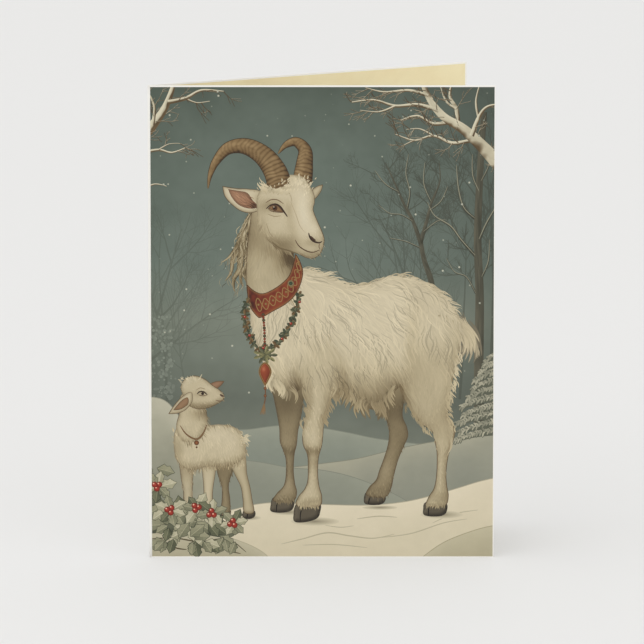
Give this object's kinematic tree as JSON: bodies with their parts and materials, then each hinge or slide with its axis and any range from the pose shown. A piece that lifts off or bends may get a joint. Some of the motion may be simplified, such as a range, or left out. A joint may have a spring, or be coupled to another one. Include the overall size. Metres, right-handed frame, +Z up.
{
  "type": "folded greeting card",
  "caption": "Upright folded greeting card with a printed front leaf that opens and closes about the crease at its left edge.",
  "frame": {"origin": "middle of the footprint's bounding box, on the surface that the card stands on", "axes": "+Z up along the card's height, +X from the crease towards the free edges, -Y out of the front cover"},
  "size_m": [0.1272, 0.0498, 0.1778],
  "materials": {
    "printed_cover": "matte uncoated card, printed",
    "card_stock": "matte uncoated card, warm white"
  },
  "bodies": {
    "back": {"back_leaf": "card_stock", "fold_crease": "card_stock"},
    "cover": {"front_leaf": "printed_cover"}
  },
  "joints": [
    {"name": "cover_fold", "type": "hinge", "parent": "back", "child": "cover", "pos_m": [-0.0634, -0.02428, 0], "axis": [0, 0, -1], "range_deg": [-22.5, 157.5]}
  ]
}
